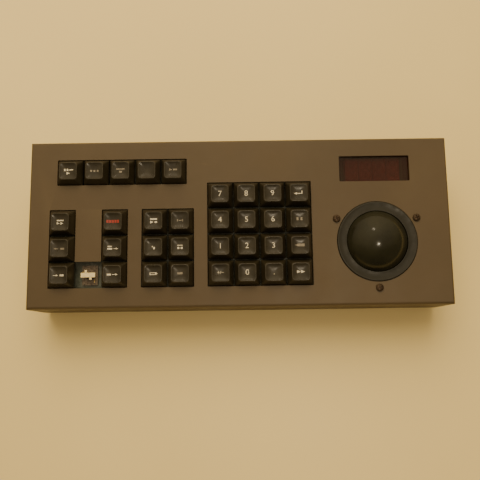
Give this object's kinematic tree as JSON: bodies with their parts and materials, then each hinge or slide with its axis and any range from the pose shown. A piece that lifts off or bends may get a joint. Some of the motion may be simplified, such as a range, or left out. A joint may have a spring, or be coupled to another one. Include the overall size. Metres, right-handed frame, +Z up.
{
  "type": "desktop control panel",
  "caption": "Low wedge-shaped sheet-metal desktop control panel with banks of square push keys, a red display window and a ring-mounted trackball.",
  "frame": {"origin": "on the desk plane, under the middle of the bounding box", "axes": "+X to the operator's right, +Y to the back, +Z up"},
  "size_m": [0.308, 0.1292, 0.0604],
  "materials": {
    "case_paint": "satin, fine texture",
    "tray_paint": "satin",
    "feet": "matt",
    "caps": "glossy",
    "slider_plastic": "satin",
    "switches": "matt",
    "ball": "polished",
    "ring": "satin",
    "frame_plastic": "matt",
    "steel": "ground",
    "dark_screws": "blackened",
    "window": "red tinted",
    "digits": "satin",
    "boards": "lacquered",
    "plated": "nickel plated",
    "ribbons": "matt"
  },
  "bodies": {
    "case": {"top_cover": "case_paint", "base_tray": "tray_paint", "foot_front_left": "feet", "foot_front_right": "feet", "foot_back_left": "feet", "foot_back_right": "feet", "switch_plate": "switches", "main_board": "boards", "trackball_ring": "ring", "ring_screw_1": "dark_screws", "ring_screw_2": "dark_screws", "ring_screw_3": "dark_screws", "trackball_frame": "frame_plastic", "encoder_board": "boards", "display_window": "window", "led_digits": "digits", "display_board": "boards", "data_socket": "plated", "jackscrew_left": "plated", "jackscrew_right": "plated", "data_ribbon": "ribbons", "trackball_ribbon": "ribbons"},
    "trackball_body": {"trackball": "ball"},
    "roller_x_body": {"roller_x": "steel"},
    "roller_y_body": {"roller_y": "steel"},
    "idler_body": {"idler": "steel"},
    "key_mode_1_body": {"key_mode_1": "caps"},
    "key_mode_2_body": {"key_mode_2": "caps"},
    "key_mode_3_body": {"key_mode_3": "caps"},
    "key_mode_4_body": {"key_mode_4": "caps"},
    "key_mode_5_body": {"key_mode_5": "caps"},
    "key_cue_1_body": {"key_cue_1": "caps"},
    "key_cue_2_body": {"key_cue_2": "caps"},
    "key_cue_3_body": {"key_cue_3": "caps"},
    "key_step_1_body": {"key_step_1": "caps"},
    "key_step_2_body": {"key_step_2": "caps"},
    "key_step_3_body": {"key_step_3": "caps"},
    "key_edit_1_body": {"key_edit_1": "caps"},
    "key_edit_2_body": {"key_edit_2": "caps"},
    "key_edit_3_body": {"key_edit_3": "caps"},
    "key_edit_4_body": {"key_edit_4": "caps"},
    "key_edit_5_body": {"key_edit_5": "caps"},
    "key_edit_6_body": {"key_edit_6": "caps"},
    "key_7_body": {"key_7": "caps"},
    "key_8_body": {"key_8": "caps"},
    "key_9_body": {"key_9": "caps"},
    "key_enter_body": {"key_enter": "caps"},
    "key_4_body": {"key_4": "caps"},
    "key_5_body": {"key_5": "caps"},
    "key_6_body": {"key_6": "caps"},
    "key_hold_body": {"key_hold": "caps"},
    "key_1_body": {"key_1": "caps"},
    "key_2_body": {"key_2": "caps"},
    "key_3_body": {"key_3": "caps"},
    "key_clear_body": {"key_clear": "caps"},
    "key_sign_body": {"key_sign": "caps"},
    "key_0_body": {"key_0": "caps"},
    "key_point_body": {"key_point": "caps"},
    "key_go_body": {"key_go": "caps"},
    "bare_slider_body": {"bare_slider": "slider_plastic"}
  },
  "joints": [
    {"name": "trackball_roll", "type": "hinge", "parent": "case", "child": "trackball_body", "pos_m": [0.1, -0.01781, 0.03504], "axis": [1, 0, 0], "continuous": true},
    {"name": "roller_x_spin", "type": "hinge", "parent": "case", "child": "roller_x_body", "pos_m": [0.1, 0.00692, 0.02047], "axis": [1, 0, 0], "continuous": true},
    {"name": "idler_spin", "type": "hinge", "parent": "case", "child": "idler_body", "pos_m": [0.1172, -0.03363, 0.01671], "axis": [0.7071, 0.7049, 0.0555], "continuous": true},
    {"name": "roller_y_spin", "type": "hinge", "parent": "case", "child": "roller_y_body", "pos_m": [0.07649, -0.01652, 0.01863], "axis": [0, 0.9969, 0.0785], "continuous": true},
    {"name": "key_mode_1_press", "type": "slide", "parent": "case", "child": "key_mode_1_body", "axis": [0, 0.0785, -0.9969], "range_m": [0, 0.0035], "stiffness_N_per_m": 125, "springref_m": -0.0024},
    {"name": "key_mode_2_press", "type": "slide", "parent": "case", "child": "key_mode_2_body", "axis": [0, 0.0785, -0.9969], "range_m": [0, 0.0035], "stiffness_N_per_m": 125, "springref_m": -0.0024},
    {"name": "key_mode_3_press", "type": "slide", "parent": "case", "child": "key_mode_3_body", "axis": [0, 0.0785, -0.9969], "range_m": [0, 0.0035], "stiffness_N_per_m": 125, "springref_m": -0.0024},
    {"name": "key_mode_4_press", "type": "slide", "parent": "case", "child": "key_mode_4_body", "axis": [0, 0.0785, -0.9969], "range_m": [0, 0.0035], "stiffness_N_per_m": 125, "springref_m": -0.0024},
    {"name": "key_mode_5_press", "type": "slide", "parent": "case", "child": "key_mode_5_body", "axis": [0, 0.0785, -0.9969], "range_m": [0, 0.0035], "stiffness_N_per_m": 125, "springref_m": -0.0024},
    {"name": "key_cue_1_press", "type": "slide", "parent": "case", "child": "key_cue_1_body", "axis": [0, 0.0785, -0.9969], "range_m": [0, 0.0035], "stiffness_N_per_m": 125, "springref_m": -0.0024},
    {"name": "key_cue_2_press", "type": "slide", "parent": "case", "child": "key_cue_2_body", "axis": [0, 0.0785, -0.9969], "range_m": [0, 0.0035], "stiffness_N_per_m": 125, "springref_m": -0.0024},
    {"name": "key_cue_3_press", "type": "slide", "parent": "case", "child": "key_cue_3_body", "axis": [0, 0.0785, -0.9969], "range_m": [0, 0.0035], "stiffness_N_per_m": 125, "springref_m": -0.0024},
    {"name": "key_step_1_press", "type": "slide", "parent": "case", "child": "key_step_1_body", "axis": [0, 0.0785, -0.9969], "range_m": [0, 0.0035], "stiffness_N_per_m": 125, "springref_m": -0.0024},
    {"name": "key_step_2_press", "type": "slide", "parent": "case", "child": "key_step_2_body", "axis": [0, 0.0785, -0.9969], "range_m": [0, 0.0035], "stiffness_N_per_m": 125, "springref_m": -0.0024},
    {"name": "key_step_3_press", "type": "slide", "parent": "case", "child": "key_step_3_body", "axis": [0, 0.0785, -0.9969], "range_m": [0, 0.0035], "stiffness_N_per_m": 125, "springref_m": -0.0024},
    {"name": "key_edit_1_press", "type": "slide", "parent": "case", "child": "key_edit_1_body", "axis": [0, 0.0785, -0.9969], "range_m": [0, 0.0035], "stiffness_N_per_m": 125, "springref_m": -0.0024},
    {"name": "key_edit_2_press", "type": "slide", "parent": "case", "child": "key_edit_2_body", "axis": [0, 0.0785, -0.9969], "range_m": [0, 0.0035], "stiffness_N_per_m": 125, "springref_m": -0.0024},
    {"name": "key_edit_3_press", "type": "slide", "parent": "case", "child": "key_edit_3_body", "axis": [0, 0.0785, -0.9969], "range_m": [0, 0.0035], "stiffness_N_per_m": 125, "springref_m": -0.0024},
    {"name": "key_edit_4_press", "type": "slide", "parent": "case", "child": "key_edit_4_body", "axis": [0, 0.0785, -0.9969], "range_m": [0, 0.0035], "stiffness_N_per_m": 125, "springref_m": -0.0024},
    {"name": "key_edit_5_press", "type": "slide", "parent": "case", "child": "key_edit_5_body", "axis": [0, 0.0785, -0.9969], "range_m": [0, 0.0035], "stiffness_N_per_m": 125, "springref_m": -0.0024},
    {"name": "key_edit_6_press", "type": "slide", "parent": "case", "child": "key_edit_6_body", "axis": [0, 0.0785, -0.9969], "range_m": [0, 0.0035], "stiffness_N_per_m": 125, "springref_m": -0.0024},
    {"name": "key_7_press", "type": "slide", "parent": "case", "child": "key_7_body", "axis": [0, 0.0785, -0.9969], "range_m": [0, 0.0035], "stiffness_N_per_m": 125, "springref_m": -0.0024},
    {"name": "key_8_press", "type": "slide", "parent": "case", "child": "key_8_body", "axis": [0, 0.0785, -0.9969], "range_m": [0, 0.0035], "stiffness_N_per_m": 125, "springref_m": -0.0024},
    {"name": "key_9_press", "type": "slide", "parent": "case", "child": "key_9_body", "axis": [0, 0.0785, -0.9969], "range_m": [0, 0.0035], "stiffness_N_per_m": 125, "springref_m": -0.0024},
    {"name": "key_enter_press", "type": "slide", "parent": "case", "child": "key_enter_body", "axis": [0, 0.0785, -0.9969], "range_m": [0, 0.0035], "stiffness_N_per_m": 125, "springref_m": -0.0024},
    {"name": "key_4_press", "type": "slide", "parent": "case", "child": "key_4_body", "axis": [0, 0.0785, -0.9969], "range_m": [0, 0.0035], "stiffness_N_per_m": 125, "springref_m": -0.0024},
    {"name": "key_5_press", "type": "slide", "parent": "case", "child": "key_5_body", "axis": [0, 0.0785, -0.9969], "range_m": [0, 0.0035], "stiffness_N_per_m": 125, "springref_m": -0.0024},
    {"name": "key_6_press", "type": "slide", "parent": "case", "child": "key_6_body", "axis": [0, 0.0785, -0.9969], "range_m": [0, 0.0035], "stiffness_N_per_m": 125, "springref_m": -0.0024},
    {"name": "key_hold_press", "type": "slide", "parent": "case", "child": "key_hold_body", "axis": [0, 0.0785, -0.9969], "range_m": [0, 0.0035], "stiffness_N_per_m": 125, "springref_m": -0.0024},
    {"name": "key_1_press", "type": "slide", "parent": "case", "child": "key_1_body", "axis": [0, 0.0785, -0.9969], "range_m": [0, 0.0035], "stiffness_N_per_m": 125, "springref_m": -0.0024},
    {"name": "key_2_press", "type": "slide", "parent": "case", "child": "key_2_body", "axis": [0, 0.0785, -0.9969], "range_m": [0, 0.0035], "stiffness_N_per_m": 125, "springref_m": -0.0024},
    {"name": "key_3_press", "type": "slide", "parent": "case", "child": "key_3_body", "axis": [0, 0.0785, -0.9969], "range_m": [0, 0.0035], "stiffness_N_per_m": 125, "springref_m": -0.0024},
    {"name": "key_clear_press", "type": "slide", "parent": "case", "child": "key_clear_body", "axis": [0, 0.0785, -0.9969], "range_m": [0, 0.0035], "stiffness_N_per_m": 125, "springref_m": -0.0024},
    {"name": "key_sign_press", "type": "slide", "parent": "case", "child": "key_sign_body", "axis": [0, 0.0785, -0.9969], "range_m": [0, 0.0035], "stiffness_N_per_m": 125, "springref_m": -0.0024},
    {"name": "key_0_press", "type": "slide", "parent": "case", "child": "key_0_body", "axis": [0, 0.0785, -0.9969], "range_m": [0, 0.0035], "stiffness_N_per_m": 125, "springref_m": -0.0024},
    {"name": "key_point_press", "type": "slide", "parent": "case", "child": "key_point_body", "axis": [0, 0.0785, -0.9969], "range_m": [0, 0.0035], "stiffness_N_per_m": 125, "springref_m": -0.0024},
    {"name": "key_go_press", "type": "slide", "parent": "case", "child": "key_go_body", "axis": [0, 0.0785, -0.9969], "range_m": [0, 0.0035], "stiffness_N_per_m": 125, "springref_m": -0.0024},
    {"name": "bare_slider_press", "type": "slide", "parent": "case", "child": "bare_slider_body", "axis": [0, 0.0785, -0.9969], "range_m": [0, 0.0035], "stiffness_N_per_m": 125, "springref_m": -0.0024}
  ],
  "couplings": [
    {"joint": "roller_x_spin", "follows": "trackball_roll", "ratio": -8.4667},
    {"joint": "idler_spin", "follows": "trackball_roll", "ratio": -4.4901}
  ]
}
